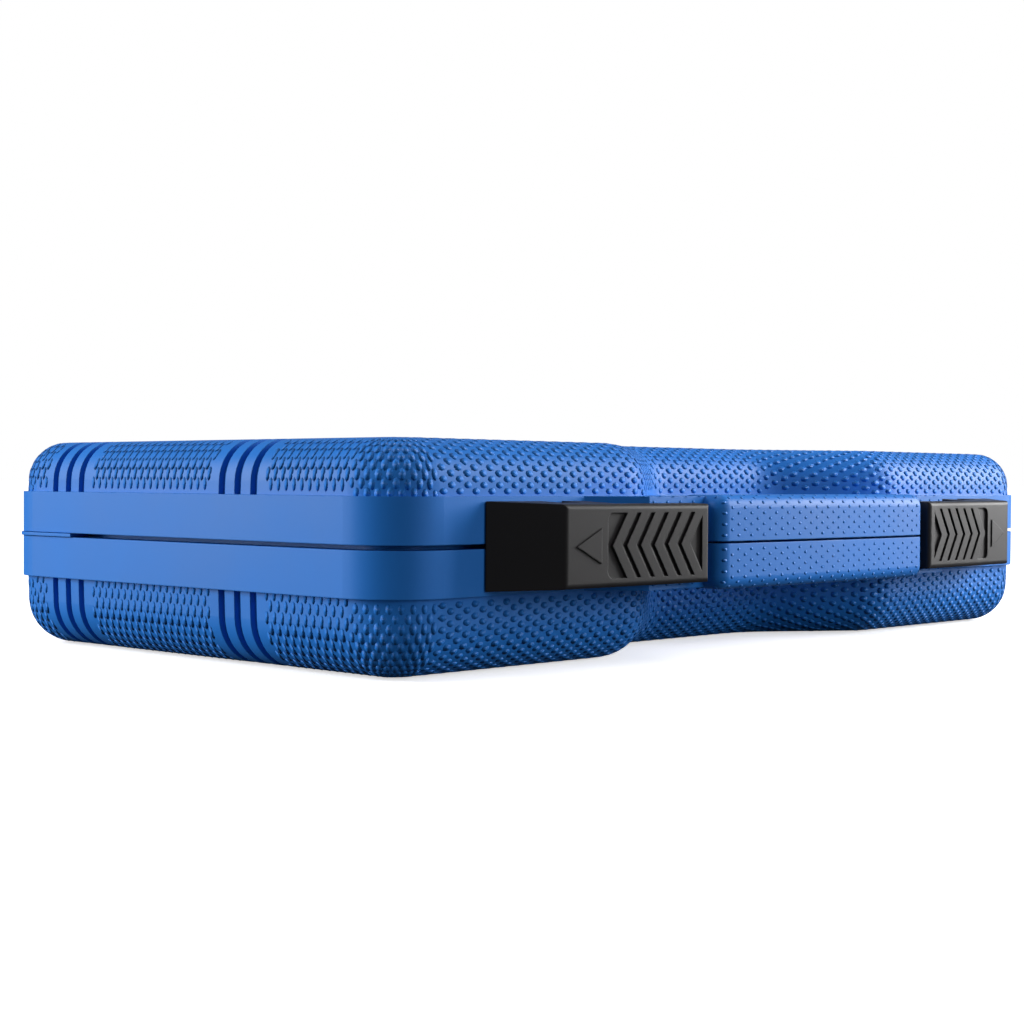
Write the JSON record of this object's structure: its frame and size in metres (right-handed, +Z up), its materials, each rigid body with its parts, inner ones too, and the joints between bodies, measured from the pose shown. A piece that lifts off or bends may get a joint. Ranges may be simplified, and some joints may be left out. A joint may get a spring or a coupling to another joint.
{
  "type": "socket wrench set in case",
  "caption": "Plastic carrying case with a hinged lid, sliding latches and a built-in handle, holding a ratchet, sockets, extension bars and a universal joint.",
  "frame": {"origin": "under the middle of the closed case, on the surface it stands on", "axes": "+X along the case's length with the handle in front, +Y from the handle to the hinges, +Z up through the lid"},
  "size_m": [0.4, 0.2514, 0.0756],
  "materials": {
    "shell": "blow-moulded polypropylene, satin with a diamond grain",
    "tray": "blow-moulded polypropylene, smooth satin",
    "latch": "injection-moulded plastic, fine matt",
    "pin": "zinc-plated steel",
    "chrome_steel": "satin chrome on chrome-vanadium steel",
    "polished_steel": "polished chrome",
    "blackened_steel": "blackened hardened steel",
    "ball_steel": "bright steel",
    "grip": "moulded soft grip",
    "rubber": "moulded rubber"
  },
  "bodies": {
    "base": {"base_shell": "shell", "base_tray": "tray", "hinge_pin_left": "pin", "hinge_pin_right": "pin", "joint_socket_yoke": "chrome_steel", "socket_32mm": "chrome_steel", "socket_30mm": "chrome_steel", "socket_27mm": "chrome_steel", "socket_24mm": "chrome_steel", "socket_12mm": "chrome_steel", "socket_11mm": "chrome_steel", "socket_10mm": "chrome_steel", "socket_23mm": "chrome_steel", "socket_22mm": "chrome_steel", "socket_21mm": "chrome_steel", "socket_20mm": "chrome_steel", "socket_19mm": "chrome_steel", "socket_18mm": "chrome_steel", "socket_17mm": "chrome_steel", "socket_16mm": "chrome_steel", "socket_15mm": "chrome_steel", "socket_14mm": "chrome_steel", "socket_13mm": "chrome_steel", "spark_plug_socket_21mm": "chrome_steel", "spark_plug_socket_16mm": "chrome_steel", "spark_plug_rubber_21mm": "rubber", "spark_plug_rubber_16mm": "rubber", "extension_bar_long": "chrome_steel", "extension_ball_long": "ball_steel", "extension_bar_short": "chrome_steel", "extension_ball_short": "ball_steel", "ratchet_body": "polished_steel", "ratchet_cover": "polished_steel", "ratchet_cover_screws": "blackened_steel", "ratchet_grip": "grip"},
    "lid": {"lid_shell": "shell", "lid_tray": "tray"},
    "latch_left": {"latch_left": "latch"},
    "latch_right": {"latch_right": "latch"},
    "ratchet_drive": {"ratchet_drive_gear": "chrome_steel", "ratchet_drive_ball": "ball_steel", "ratchet_button_spring": "blackened_steel"},
    "ratchet_button": {"ratchet_release_button": "polished_steel"},
    "ratchet_lever": {"ratchet_reverse_lever": "chrome_steel"},
    "ratchet_pawl": {"ratchet_pawl": "blackened_steel"},
    "joint_cross": {"joint_cross": "chrome_steel"},
    "joint_square": {"joint_square_yoke": "chrome_steel"}
  },
  "joints": [
    {"name": "lid_hinge", "type": "hinge", "parent": "base", "child": "lid", "pos_m": [0, 0.1217, 0.0413], "axis": [-1, 0, 0], "range_deg": [0, 180]},
    {"name": "latch_left_slide", "type": "slide", "parent": "base", "child": "latch_left", "axis": [-1, 0, 0], "range_m": [0, 0.014]},
    {"name": "latch_right_slide", "type": "slide", "parent": "base", "child": "latch_right", "axis": [1, 0, 0], "range_m": [0, 0.014]},
    {"name": "ratchet_drive_spin", "type": "hinge", "parent": "base", "child": "ratchet_drive", "pos_m": [-0.152, 0.0563, 0.0333], "axis": [0, 0, 1], "continuous": true},
    {"name": "ratchet_button_press", "type": "slide", "parent": "ratchet_drive", "child": "ratchet_button", "axis": [0, 0, -1], "range_m": [0, 0.0015], "stiffness_N_per_m": 400},
    {"name": "ratchet_lever_turn", "type": "hinge", "parent": "base", "child": "ratchet_lever", "pos_m": [-0.152, 0.0563, 0.0333], "axis": [0, 0, 1], "range_deg": [0, 40]},
    {"name": "ratchet_pawl_rock", "type": "hinge", "parent": "base", "child": "ratchet_pawl", "pos_m": [-0.1344, 0.0563, 0.0333], "axis": [0, 0, 1], "range_deg": [0, 3]},
    {"name": "joint_swing", "type": "hinge", "parent": "base", "child": "joint_cross", "pos_m": [0.123, 0.0653, 0.0273], "axis": [0, 0, 1], "range_deg": [-25, 25]},
    {"name": "joint_tilt", "type": "hinge", "parent": "joint_cross", "child": "joint_square", "pos_m": [0.123, 0.0653, 0.0273], "axis": [0, 1, 0], "range_deg": [-10, 10]}
  ]
}
